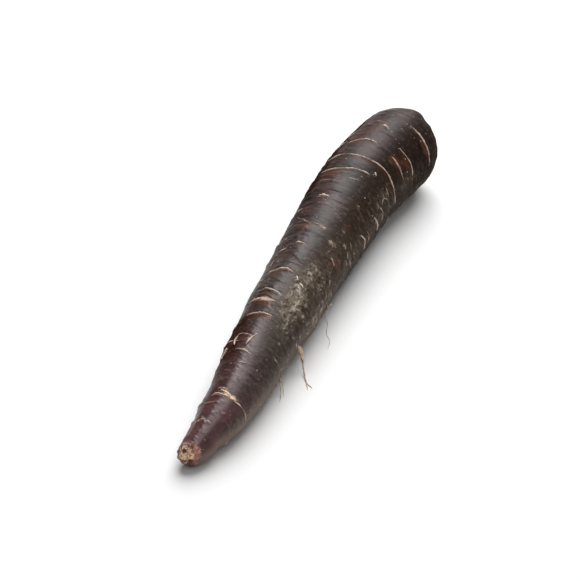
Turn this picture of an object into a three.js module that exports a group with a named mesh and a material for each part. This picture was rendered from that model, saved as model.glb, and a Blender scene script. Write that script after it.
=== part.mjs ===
// A black carrot, one root grown as one piece, lying on its side.
//
// Millimetres, +Z up. +X runs along the root towards the crown, where the leaves were cut
// off. z = 0 is the surface that the root lies on, and the origin is under its middle.
//
// The root is turned as a lathe shape standing on its thin end, and then laid down along a
// spine that sways gently from side to side.

import * as THREE from 'three';
import { mergeVertices } from 'three/addons/utils/BufferGeometryUtils.js';

// ---- Driving dimensions ------------------------------------------------------------------

// Stations are measured along the root from its thin end.
const rootLength = 200;

// The taper: half the root's thickness, as [station, radius].
const taper = [
  [0, 3.8],
  [10, 6.6],
  [33, 10.6],
  [58, 12.8],
  [100, 14.9],
  [140, 16.7],
  [170, 17.8],
  [200, 18.4],
];

// The sway of the spine, as [station, distance to the left of a straight line].
const sway = [
  [0, 0.4],
  [14, -1.9],
  [34, -2.8],
  [60, -0.8],
  [90, 0.9],
  [120, 2.7],
  [158, 3.8],
  [186, 0.2],
  [200, -2.4],
];

// Swellings, and waists where the growth slowed: the middle of each, how far it reaches
// along the root to either side, and how much it adds to the radius.
const swellings = [
  { station: 5, reach: 4, rise: 0.3 },
  { station: 22, reach: 6, rise: 0.25 },
  { station: 49, reach: 6, rise: 0.3 },
  { station: 65, reach: 6, rise: -0.2 },
  { station: 80, reach: 7, rise: 0.5 },
  { station: 116, reach: 9, rise: -0.1 },
  { station: 177, reach: 7, rise: 0.2 },
];

// The root is slightly out of round, and its wide way turns as it goes up the root.
const outOfRound = 0.016;
const turnsOfWideWay = 0.4;

// The broken thin end: a blunt scar with a rounded edge, which slants back to the right.
const scarRadius = 2.4;
const scarRounding = 4.5;
const scarAngle = THREE.MathUtils.degToRad(14);
const scarSlantLength = 12;

// The crown: the shoulder is the part of an ellipse that turns in from the flank to the rim
// of the skin, and a trimmed stub of leaf bases stands inside the rim.
const shoulderLength = 12.5;
const shoulderTurn = THREE.MathUtils.degToRad(63);
const rimRadius = 15;
const stepBelowRim = 0.5;
const stubBaseRadius = 13.2;
const stubTopRadius = 7;
const stubHeight = 3.5;

// The knife crossed the root askew, and left more of it on the upper left.
const cutAngle = THREE.MathUtils.degToRad(11);
const cutDirection = THREE.MathUtils.degToRad(46);

// It cut in strokes that don't quite meet in one plane, so the rim has a high corner and a
// low stretch: the degrees from the top towards the left, how far each reaches to either
// side in degrees, and how much longer it leaves the root.
const knifeStrokes = [
  { angle: -20, reach: 22, rise: 1.7 },
  { angle: 39, reach: 34, rise: -0.7 },
];

// How much of the underside is worn flat where the root bears on the surface, and how far
// the thin end curls up off it.
const flattening = 0.55;
const curl = 1.4;
const curlLength = 30;

// The mesh: how far apart its rings are, its sides, and its steps in each rounded end.
const ringSpacing = 3;
const sides = 42;
const roundingSteps = 7;
const curveStepsPerPoint = 30;

// ---- Growth along the root ---------------------------------------------------------------

// A smooth curve through [station, value] pairs, given back as a function of the station.
function smoothThrough(pairs) {
  const knots = pairs.map(([station, value]) => new THREE.Vector2(station, value));
  const points = new THREE.SplineCurve(knots).getPoints(curveStepsPerPoint * pairs.length);
  return (station) => {
    const after = points.findIndex((point) => point.x > station);
    if (after === -1) return points[points.length - 1].y;
    if (after === 0) return points[0].y;
    const from = points[after - 1];
    const to = points[after];
    return THREE.MathUtils.mapLinear(station, from.x, to.x, from.y, to.y);
  };
}

const taperAt = smoothThrough(taper);
const swayAt = smoothThrough(sway);

// Half the root's thickness with its swellings and waists, each a smooth bell along it.
function girthAt(station) {
  return swellings.reduce((radius, { station: middle, reach, rise }) => {
    const away = (station - middle) / reach;
    return radius + rise * Math.exp(-away * away);
  }, taperAt(station));
}

// ---- The profile, from the middle of the scar to the middle of the stub ------------------

const rimStation = rootLength - stubHeight;
const shoulderStation = rimStation - shoulderLength;

function scarProfile() {
  const edgeWidth = girthAt(scarRounding) - scarRadius;
  const edge = new THREE.EllipseCurve(scarRadius, scarRounding, edgeWidth, scarRounding, -Math.PI / 2, 0);
  return [new THREE.Vector2(0, 0), ...edge.getPoints(roundingSteps)];
}

function flankProfile() {
  const rings = Math.round((shoulderStation - scarRounding) / ringSpacing);
  const points = [];
  for (let ring = 1; ring < rings; ring += 1) {
    const station = THREE.MathUtils.lerp(scarRounding, shoulderStation, ring / rings);
    points.push(new THREE.Vector2(girthAt(station), station));
  }
  return points;
}

function shoulderProfile() {
  const flankRadius = girthAt(shoulderStation);
  const width = (flankRadius - rimRadius) / (1 - Math.cos(shoulderTurn));
  const height = shoulderLength / Math.sin(shoulderTurn);
  const arc = new THREE.EllipseCurve(flankRadius - width, shoulderStation, width, height, 0, shoulderTurn);
  return arc.getPoints(roundingSteps);
}

function stubProfile() {
  return [
    new THREE.Vector2(stubBaseRadius, rimStation - stepBelowRim),
    new THREE.Vector2(stubTopRadius, rootLength),
    new THREE.Vector2(0, rootLength),
  ];
}

function rootProfile() {
  return [...scarProfile(), ...flankProfile(), ...shoulderProfile(), ...stubProfile()];
}

// ---- Laying the root down ----------------------------------------------------------------

// How much longer the knife strokes leave the root in the direction of a point.
function strokesAt(left, up) {
  const angle = THREE.MathUtils.radToDeg(Math.atan2(left, up));
  const outwards = Math.min(Math.hypot(left, up) / rimRadius, 1);
  return knifeStrokes.reduce((sum, { angle: middle, reach, rise }) => {
    const away = (THREE.MathUtils.euclideanModulo(angle - middle + 180, 360) - 180) / reach;
    return sum + outwards * rise * Math.exp(-away * away);
  }, 0);
}

// How far the askew cut and the slanting scar move a point along the root.
function slantAt(station, left, up) {
  const onCut = THREE.MathUtils.smoothstep(station, shoulderStation, rimStation);
  const towardsUpperLeft = left * Math.sin(cutDirection) + up * Math.cos(cutDirection);
  const cut = Math.tan(cutAngle) * towardsUpperLeft + strokesAt(left, up);
  const onScar = 1 - THREE.MathUtils.smoothstep(station, 0, scarSlantLength);
  return onCut * cut - onScar * Math.tan(scarAngle) * left;
}

// Moves one point of the upright lathe shape, whose axis is +Y, to its place on the root.
function layDown(point) {
  const station = point.y;
  const around = Math.atan2(point.x, point.z);
  const wideWay = 2 * Math.PI * turnsOfWideWay * (station / rootLength);
  const stretch = 1 + outOfRound * Math.cos(2 * (around - wideWay));
  const left = -point.x * stretch;
  const up = point.z * stretch;
  const curledUp = curl * (1 - THREE.MathUtils.smoothstep(station, 0, curlLength));
  const spineHeight = taperAt(station) - flattening + curledUp;
  return new THREE.Vector3(
    station + slantAt(station, left, up),
    swayAt(station) + left,
    Math.max(spineHeight + up, 0),
  );
}

// A lathe shape as one closed surface: its seam is merged, and so are its points on the
// axis, and the faces that this leaves empty are taken out.
function closedLathe(profile) {
  const lathe = new THREE.LatheGeometry(profile, sides);
  lathe.deleteAttribute('normal');
  lathe.deleteAttribute('uv');
  const merged = mergeVertices(lathe);
  const corners = merged.index.array;
  const kept = [];
  for (let face = 0; face < corners.length; face += 3) {
    const [a, b, c] = corners.slice(face, face + 3);
    if (a !== b && b !== c && c !== a) kept.push(a, b, c);
  }
  merged.setIndex(kept);
  return merged;
}

function rootGeometry() {
  const geometry = closedLathe(rootProfile());
  const positions = geometry.getAttribute('position');
  const point = new THREE.Vector3();
  for (let index = 0; index < positions.count; index += 1) {
    point.fromBufferAttribute(positions, index);
    const placed = layDown(point);
    positions.setXYZ(index, placed.x, placed.y, placed.z);
  }
  geometry.computeBoundingBox();
  const middle = geometry.boundingBox.getCenter(new THREE.Vector3());
  geometry.translate(-middle.x, -middle.y, 0);
  geometry.computeVertexNormals();
  return geometry;
}

// ---- The part ----------------------------------------------------------------------------

const darkSkin = new THREE.MeshStandardMaterial({ color: 0x3a2c2a, roughness: 0.5, metalness: 0 });

const carrot = new THREE.Mesh(rootGeometry(), darkSkin);
carrot.name = 'carrot';

const part = new THREE.Group();
part.add(carrot);

export default part;
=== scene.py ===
# %% [markdown]
# # A black carrot
# This lesson builds the look of one black carrot that lies on its side: a dark plum skin
# with growth rings, corky scars and a film of soil, a broken thin end, a few fine side
# roots, and a crown that was trimmed with a knife. A carrot grows as one piece, so its
# skin is one closed mesh. The solid that carries its size is loaded first, and every
# later step is fitted to that solid.

# %% Load the frame
import math
import random

import bpy
import numpy as np
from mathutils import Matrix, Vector, noise
from mathutils.bvhtree import BVHTree


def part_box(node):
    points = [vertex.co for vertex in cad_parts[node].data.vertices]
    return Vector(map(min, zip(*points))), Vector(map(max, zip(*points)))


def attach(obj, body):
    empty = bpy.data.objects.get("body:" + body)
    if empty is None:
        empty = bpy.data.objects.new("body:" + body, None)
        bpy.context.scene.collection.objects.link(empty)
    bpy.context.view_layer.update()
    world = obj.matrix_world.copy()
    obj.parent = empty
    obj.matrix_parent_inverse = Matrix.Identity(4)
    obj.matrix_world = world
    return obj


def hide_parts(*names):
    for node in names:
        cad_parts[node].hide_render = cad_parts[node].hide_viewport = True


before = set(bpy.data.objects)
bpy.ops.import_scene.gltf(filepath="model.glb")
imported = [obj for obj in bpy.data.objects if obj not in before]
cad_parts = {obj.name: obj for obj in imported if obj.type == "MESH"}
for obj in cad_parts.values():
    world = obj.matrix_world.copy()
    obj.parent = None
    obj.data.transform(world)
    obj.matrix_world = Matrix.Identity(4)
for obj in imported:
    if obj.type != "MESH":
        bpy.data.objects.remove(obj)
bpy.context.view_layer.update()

MM = 0.001
low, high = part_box("carrot")
print("solid, in mm:", [round(side / MM, 1) for side in high - low])

# %% [markdown]
# ## Camera, floor and light
# A product photographer lays a dark root on a pale sheet and hangs one large soft light
# above and behind it. The light slides along the skin as a broad grey sheen, and the sheet
# throws some of it back up into the lower flanks. A weak second light from the front keeps
# the sheet white. A lamp with hard edges would make a white streak instead, and hide the
# skin's colour.

# %% Camera
CAMERA_AZIMUTH = -63.3
CAMERA_ELEVATION = 43.5
CAMERA_DISTANCE = 0.9
CAMERA_LENS = 138.5
CAMERA_NEAREST = 0.01
LOOK_AT = Vector((-9.2, 0.2, 16)) * MM


def direction(azimuth, elevation):
    """The unit vector from the root towards a viewer or a lamp."""
    a = math.radians(azimuth)
    e = math.radians(elevation)
    return Vector((math.sin(a) * math.cos(e), -math.cos(a) * math.cos(e), math.sin(e)))


def aim(thing, place, target):
    """Puts a camera or a lamp at a place and points it at a target."""
    thing.location = place
    thing.rotation_mode = "QUATERNION"
    thing.rotation_quaternion = (target - place).to_track_quat("-Z", "Y")
    bpy.context.scene.collection.objects.link(thing)


camera = bpy.data.objects.new("camera", bpy.data.cameras.new("camera"))
camera.data.lens = CAMERA_LENS
camera.data.clip_start = CAMERA_NEAREST
aim(camera, LOOK_AT + direction(CAMERA_AZIMUTH, CAMERA_ELEVATION) * CAMERA_DISTANCE, LOOK_AT)
bpy.context.scene.camera = camera
print("camera at, in mm:", [round(c / MM) for c in camera.location])

# %% Soft lights
# Each row is azimuth and elevation in degrees, distance and width in metres, power in watts.
SOFT_LIGHTS = {
    "overhead_softbox": (102, 52, 2.2, 2.2, 72),
    "front_fill": (-20, 70, 2.2, 1.6, 5),
}
for name, (azimuth, elevation, distance, width, power) in SOFT_LIGHTS.items():
    lamp = bpy.data.lights.new(name, "AREA")
    lamp.shape = "DISK"
    lamp.size = width
    lamp.energy = power
    aim(bpy.data.objects.new(name, lamp), LOOK_AT + direction(azimuth, elevation) * distance, LOOK_AT)

# %% Light from all around
WORLD_WHITE = (1.0, 1.0, 1.0, 1.0)
WORLD_STRENGTH = 0.19
world = bpy.data.worlds.new("studio")
world.use_nodes = True
background = world.node_tree.nodes["Background"]
background.inputs["Color"].default_value = WORLD_WHITE
background.inputs["Strength"].default_value = WORLD_STRENGTH
bpy.context.scene.world = world
bpy.context.scene.view_settings.view_transform = "Standard"
print("lights:", list(SOFT_LIGHTS), "and a world of strength", WORLD_STRENGTH)

# %% [markdown]
# ## Writing node trees as formulas
# Materials and Geometry Nodes are both trees of small boxes. Written out box by box they
# are long and hard to follow. This small class adds a box and returns what comes out of
# it, so that a tree reads from top to bottom like a formula. It serves both kinds of tree.

# %% Node helper
# A Mix node has a set of sockets for each kind of value: the factor, both values, the result.
COLOUR_SOCKETS = (0, 6, 7, 2)
NUMBER_SOCKETS = (0, 2, 3, 0)


class Nodes:
    """Writes a node tree as a formula. A value is a number, a tuple or another socket."""

    def __init__(self, tree):
        self.tree = tree

    def feed(self, socket, value):
        """Links a socket to another one, or sets it to a plain value."""
        if isinstance(value, bpy.types.NodeSocket):
            self.tree.links.new(value, socket)
        else:
            socket.default_value = value

    def add(self, kind, inputs=None, **settings):
        """A new node with these settings and inputs."""
        node = self.tree.nodes.new(kind)
        for name, value in settings.items():
            setattr(node, name, value)
        for key, value in (inputs or {}).items():
            self.feed(node.inputs[key], value)
        return node

    def get(self, kind, inputs=None, **settings):
        """What comes first out of a new node."""
        return self.add(kind, inputs, **settings).outputs[0]

    def math(self, operation, *values):
        return self.get("ShaderNodeMath", dict(enumerate(values)), operation=operation)

    def fold(self, operation, values):
        """The first value, taken together with each of the others in turn."""
        total = values[0]
        for value in values[1:]:
            total = self.math(operation, total, value)
        return total

    def times(self, *values):
        return self.fold("MULTIPLY", values)

    def plus(self, *values):
        return self.fold("ADD", values)

    def line(self, value, slope, start):
        """The value times a slope, and a start on top."""
        return self.plus(self.times(value, slope), start)

    def rest(self, value):
        """What is left of 1."""
        return self.math("SUBTRACT", 1.0, value)

    def step(self, value, start, end):
        """0 up to the start, 1 from the end on and a smooth ramp between. It may run backwards."""
        inputs = {"Value": value, "From Min": start, "From Max": end}
        return self.get("ShaderNodeMapRange", inputs, interpolation_type="SMOOTHSTEP")

    def blend(self, factor, a, b, sockets=COLOUR_SOCKETS):
        """From a, where the factor is 0, to b, where it is 1."""
        kind = "RGBA" if sockets is COLOUR_SOCKETS else "FLOAT"
        f, first, second, out = sockets
        node = self.add("ShaderNodeMix", {f: factor, first: a, second: b}, data_type=kind)
        return node.outputs[out]

    def coats(self, colour, *coats):
        """A colour with coats over it, the lowest first. Each coat is a mask and a tone."""
        for mask, tone_above in coats:
            colour = self.blend(mask, colour, tone_above)
        return colour

    def vector(self, operation, *values):
        return self.get("ShaderNodeVectorMath", dict(enumerate(values)), operation=operation)

    def parts(self, vector):
        """The x, y and z of a vector."""
        return self.add("ShaderNodeSeparateXYZ", {0: vector}).outputs

    def scaled(self, vector, amount):
        return self.get("ShaderNodeVectorMath", {0: vector, "Scale": amount}, operation="SCALE")

    def cloud(self, vector, sizes, detail=2.0, roughness=0.5, distortion=0.0, output=0):
        """A smooth random cloud from 0 to 1, whose lumps have these sizes."""
        inputs = {
            "Vector": self.vector("MULTIPLY", vector, tuple(1 / size for size in sizes)),
            "Scale": 1.0,
            "Detail": detail,
            "Roughness": roughness,
            "Distortion": distortion,
        }
        return self.add("ShaderNodeTexNoise", inputs).outputs[output]

    def ripple(self, *cloud):
        """A cloud from -0.5 to 0.5."""
        return self.plus(self.cloud(*cloud), -0.5)

    def contour(self, cloud, sharpness):
        """Thin wandering lines, where a cloud crosses its middle value."""
        away = self.math("ABSOLUTE", self.plus(self.times(cloud, 2.0), -1.0))
        return self.math("POWER", self.rest(away), sharpness)


def random_field(places, size, offset, octaves=1):
    """Smooth random numbers from about -1 to 1 at places given in millimetres."""
    shift = Vector((offset, 0, 0))
    flat = places.reshape(-1, 3) / size
    values = [noise.fractal(Vector(p) + shift, 1.0, 2.0, octaves) for p in flat]
    return np.array(values).reshape(places.shape[:-1])


# %% [markdown]
# ## Fitting a fine skin to the solid
# The solid has broad facets, and its faces are too large to carry a growth ring. It could
# be subdivided, but its long thin faces would stay. It could be remeshed, but then the
# faces would run in no direction. Here a new grid is laid over it, as a knitter would:
# rows that cross the root and columns that run along it. Each point comes from a ray shot
# from the middle of the root. The rays fan out at both ends, so that the grid closes
# over them. Transverse wrinkles then follow the rows, and fine ones cost few faces.

# %% Rays against the solid
# A ray that meets an edge of the solid can slip out between two faces, so it is shot again
# from a hair's breadth beside.
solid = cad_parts["carrot"]
corners = [v.co.copy() for v in solid.data.vertices]
faces = [tuple(p.vertices) for p in solid.data.polygons]
GAP_BETWEEN_FACES = 0.001 * MM
NUDGES = [Vector((x, y, 0)) * 0.01 * MM for x, y in ((0, 0), (1, 2), (-2, 1), (3, -2))]
surface = BVHTree.FromPolygons(corners, faces, epsilon=GAP_BETWEEN_FACES)
print("corners of the solid:", len(corners), "faces:", len(faces))


def first_hit(origin, way):
    """The normal and the distance of the solid's surface, seen from a point inside it."""
    for nudge in NUDGES:
        _, normal, _, far = surface.ray_cast(origin + nudge, way)
        if far is not None:
            return normal, far
    raise ValueError("a ray slipped out between two faces")


# %% Middle of the root
# The spine has a point for each row that crosses the root. It stops short of both ends,
# where the rays fan out from its last point instead.
TIP_REACH = 7 * MM
CROWN_REACH = 17.5 * MM
ROW_STEP = 0.36 * MM
INSIDE_EVERYWHERE = 7 * MM
CENTRING_ROUNDS = 4
UP = Vector((0, 0, 1))
LEFT = Vector((0, 1, 0))


def middle_at(x):
    """The middle of the solid's slice at x, found by centring between opposite walls."""
    point = Vector((x, 0, INSIDE_EVERYWHERE))
    for _ in range(CENTRING_ROUNDS):
        for axis in (LEFT, UP):
            point += axis * (first_hit(point, axis)[1] - first_hit(point, -axis)[1]) / 2
    return point


def blur(values, width, axis=0, around=False):
    """A Gaussian blur of an array along one axis. The ends repeat, or join up."""
    half = int(math.ceil(3 * width))
    weights = np.exp(-0.5 * (np.arange(-half, half + 1) / width) ** 2)
    weights /= weights.sum()
    moved = np.moveaxis(values, axis, 0)
    edges = [(half, half)] + [(0, 0)] * (moved.ndim - 1)
    padded = np.pad(moved, edges, mode="wrap" if around else "edge")
    out = sum(w * padded[k:k + len(moved)] for k, w in enumerate(weights))
    return np.moveaxis(out, 0, axis)


SPINE_BLUR = 5 * MM
body_rows = int((high.x - low.x - TIP_REACH - CROWN_REACH) / ROW_STEP)
row_x = np.linspace(low.x + TIP_REACH, high.x - CROWN_REACH, body_rows)
spine = np.array([middle_at(x) for x in row_x])
spine[:, 1:] = blur(spine[:, 1:], SPINE_BLUR / ROW_STEP)
tangent = np.gradient(spine, axis=0)
tangent /= np.linalg.norm(tangent, axis=1)[:, None]
print("rows along the root:", body_rows, "sideways sway in mm:", round(np.ptp(spine[:, 1]) / MM, 1))

# %% Where the skin ends
# A face of the solid belongs to the knife cut when its normal looks along the root, and the
# rim is found by halving the angle between a ray on the skin and a ray on the cut.
COLUMNS = 160
CUT_LOOKS_ALONG = 0.72
ON_THE_SKIN = math.radians(80)
ON_THE_CUT = math.radians(5)
HALVINGS = 24
RIM_BLUR = 1.5
angles = np.arange(COLUMNS) * 2 * math.pi / COLUMNS


def fan_ray(row, polar, angle):
    """The direction of one ray. The angle goes round the root, from the top to the left."""
    along = Vector(tangent[row])
    up = (UP - along * UP.dot(along)).normalized()
    left = up.cross(along)
    out = up * math.cos(angle) + left * math.sin(angle)
    return along * math.cos(polar) + out * math.sin(polar)


def rim_polar(angle):
    """The angle to the spine at which the skin ends and the knife cut starts."""
    pivot = Vector(spine[-1])
    skin_side = ON_THE_SKIN
    cut_side = ON_THE_CUT
    for _ in range(HALVINGS):
        middle = (skin_side + cut_side) / 2
        if first_hit(pivot, fan_ray(-1, middle, angle))[0].x > CUT_LOOKS_ALONG:
            cut_side = middle
        else:
            skin_side = middle
    return skin_side


rim = blur(np.array([rim_polar(a) for a in angles]), RIM_BLUR, around=True)
print("mean angle of the rim to the spine, in degrees:", np.degrees(rim).mean().round())

# %% Grid of rays
# A row holds its place on the spine and, for each column, the angle between its ray and
# the spine: 0 looks at the crown, 90 degrees straight out and 180 at the thin end.
TIP_ROWS = 26
SHOULDER_ROWS = 36
CUT_ROWS = 30
right_angle = math.pi / 2
rows = []
for k in range(1, TIP_ROWS):
    rows.append((0, np.full(COLUMNS, math.pi - right_angle * k / TIP_ROWS)))
for k in range(body_rows):
    rows.append((k, np.full(COLUMNS, right_angle)))
for k in range(1, SHOULDER_ROWS + 1):
    rows.append((-1, right_angle + (rim - right_angle) * k / SHOULDER_ROWS))
rim_row = len(rows) - 1
for k in range(1, CUT_ROWS):
    rows.append((-1, rim * (1 - k / CUT_ROWS)))
rays = {}
for i, (row, polars) in enumerate(rows):
    for j, angle in enumerate(angles):
        rays[i, j] = (Vector(spine[row]), fan_ray(row, polars[j], angle))

reach = np.empty((len(rows), COLUMNS))
for place, (pivot, way) in rays.items():
    reach[place] = first_hit(pivot, way)[1]
print("grid:", reach.shape, "triangles:", 2 * reach.size)

# %% Smooth out the solid's facets
# The blurs are counted in rows and columns. Towards the rim the skin is blurred less, so
# that its edge stays crisp.
FACET_BLUR_AROUND = 3.2
RIM_BLUR_AROUND = 1.4
FACET_BLUR_ALONG = 3.0
CUT_BLUR = 1.5
to_rim = np.clip(np.arange(rim_row + 1) - rim_row + SHOULDER_ROWS, 0, None)[:, None] / SHOULDER_ROWS
soft_part = blur(reach[:rim_row + 1], FACET_BLUR_AROUND, axis=1, around=True)
soft_part = blur(soft_part, FACET_BLUR_ALONG, axis=0)
crisp_part = blur(reach[:rim_row + 1], RIM_BLUR_AROUND, axis=1, around=True)
skin_part = soft_part + (crisp_part - soft_part) * to_rim ** 3
cut_part = blur(reach[rim_row + 1:], RIM_BLUR_AROUND, axis=1, around=True)
cut_part = blur(cut_part, CUT_BLUR, axis=0)
smooth = np.vstack([skin_part, cut_part])

points = np.empty((len(rows), COLUMNS, 3))
for place, (pivot, way) in rays.items():
    points[place] = pivot + way * smooth[place]
points[:, :, 2] = np.maximum(points[:, :, 2], 0)
tip_pole = Vector(spine[0]) - Vector(tangent[0]) * smooth[0].mean()
crown_pole = Vector(spine[-1]) + Vector(tangent[-1]) * smooth[-1].mean()
print("smoothing moved the skin by up to, in mm:", round(np.abs(smooth - reach).max() / MM, 2))

# %% Coordinates on the skin
# Patterns are laid on a straightened root: millimetres from the tip, and then the place on
# a circle of a fixed size, so that they meet at the back without a seam.
GRAIN_RADIUS = 14.0
station = (points[:, :, 0] - low.x) / MM
pivots = np.array([spine[row] for row, _ in rows])
ways = np.array([tangent[row] for row, _ in rows])
arm = points - pivots[:, None, :]
forward = (arm * ways[:, None, :]).sum(2)
radial = np.linalg.norm(arm - forward[:, :, None] * ways[:, None, :], axis=2) / MM
along = (forward + (pivots[:, 0] - low.x)[:, None]) / MM
first_body = TIP_ROWS - 1
last_body = first_body + body_rows - 1
girth = radial.copy()
girth[:first_body] = radial[first_body]
girth[last_body:] = radial[last_body]
spread = GRAIN_RADIUS * radial / girth
grain = np.stack([along, spread * np.sin(angles), spread * np.cos(angles)], axis=2)
turn = np.degrees((angles + math.pi) % (2 * math.pi) - math.pi)[None, :].repeat(len(rows), 0)
tip_radius, shoulder_radius = radial[first_body].mean(), radial[last_body].mean()
print("radius in mm, tip:", round(tip_radius, 1), "shoulder:", round(shoulder_radius, 1))

# %% [markdown]
# ## Where the rings, scars and scuffs are
# A carrot thickens in the soil, and its skin splits in thin rings where it can't keep up.
# Each split heals with a thin line of pale cork. Side roots leave short lens-shaped scars
# in ranks along the root. Each mark is a route over the skin: a short list of places, listed
# one by one for the side that shows best and drawn at random for the rest. The skin sinks
# beside the line, rises in a lip and turns rust brown. That goes into the skin itself, and
# the line of cork is laid on it later as a shape of its own.

# %% Distance from a route
# Nothing on a root is drawn with a ruler, so every route wanders a little, in millimetres.
WANDER = 0.45
WANDER_SIZE = 5.0
SHAKE = 0.16
SHAKE_SIZE = 1.4
wander_along = random_field(grain, WANDER_SIZE, 0) * WANDER
wander_along += random_field(grain, SHAKE_SIZE, 70) * SHAKE
wander_around = random_field(grain, WANDER_SIZE, 50) * WANDER * 3
patches = random_field(grain, WANDER_SIZE, 90) * 1.4


def around_mm(angle, middle, size):
    """Millimetres round the skin from one angle to another, the short way."""
    return np.radians((angle - middle + 180) % 360 - 180) * size


def girth_at(s):
    """The radius of the root at a station, in millimetres."""
    return np.interp(s, station[:rim_row, 0], girth[:rim_row, 0])


ROUND_STEPS = 4


def rounded(knots, steps):
    """A smooth curve through the knots (Catmull-Rom), with a few steps from each to the next."""
    k = np.array([knots[0]] + list(knots) + [knots[-1]], dtype=float)
    for i in range(1, len(k) - 2):
        for t in np.arange(steps) / steps:
            a = 2 * k[i] + (k[i + 1] - k[i - 1]) * t
            b = (2 * k[i - 1] - 5 * k[i] + 4 * k[i + 1] - k[i + 2]) * t ** 2
            c = (3 * k[i] - k[i - 1] - 3 * k[i + 1] + k[i + 2]) * t ** 3
            yield tuple((a + b + c) / 2)
    yield tuple(k[-1])


def lengths_of(knots):
    """How far it is from each knot to the next."""
    return [math.dist(p, q) for p, q in zip(knots, knots[1:])]


def from_route(route, near):
    """The signed distance across to a route, and the place along it from 0 to 1."""
    first_angle = route[0][1]
    x = (station + wander_along)[near]
    y = (around_mm(turn, first_angle, girth) + wander_around)[near]
    knots = [(s, around_mm(a, first_angle, girth_at(s))) for s, a in route]
    lengths = lengths_of(knots)
    nearest = np.full(x.shape, 1e9)
    across = np.zeros(x.shape)
    place = np.zeros(x.shape)
    walked = 0.0
    for (px, py), (qx, qy), length in zip(knots, knots[1:], lengths):
        ux, uy = (qx - px) / length, (qy - py) / length
        t = np.clip(((x - px) * ux + (y - py) * uy) / length, 0, 1)
        dx, dy = x - px - t * length * ux, y - py - t * length * uy
        far = np.hypot(dx, dy)
        nearer = far < nearest
        nearest = np.where(nearer, far, nearest)
        across = np.where(nearer, np.where(dx >= 0, far, -far), across)
        place = np.where(nearer, (walked + t * length) / sum(lengths), place)
        walked += length
    return across, place


# %% Kinds of marks
# Half widths, grooves and lips are in millimetres. The rest goes from 0 to 1: how pale the
# cork is, how orange it is, how red-brown the skin is beside it, and how high it stands.
LOOKS = ("half", "pale", "warm", "groove", "lip", "rust", "proud")
KINDS = {
    "ring": (0.29, 0.72, 0.10, 0.26, 0.16, 0.55, 0.40),
    "rose": (0.36, 0.74, 0.75, 0.28, 0.20, 0.60, 0.25),
    "faint": (0.20, 0.34, 0.30, 0.16, 0.08, 0.40, 0.00),
    "thread": (0.20, 0.58, 0.00, 0.08, 0.06, 0.20, 0.35),
    "slit": (0.38, 0.90, 0.15, 0.14, 0.12, 0.80, 0.25),
    "scar": (0.72, 0.85, 0.70, -0.14, 0.10, 0.90, 0.00),
    "blot": (0.50, 0.62, 0.80, -0.06, 0.06, 0.50, 0.00),
    "scuff": (0.36, 1.00, 0.00, 0.04, 0.04, 0.00, 0.25),
    "crease": (0.30, 0.00, 0.00, 0.40, 0.16, 0.60, 0.00),
}
KINDS = {kind: dict(zip(LOOKS, row)) for kind, row in KINDS.items()}
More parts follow.
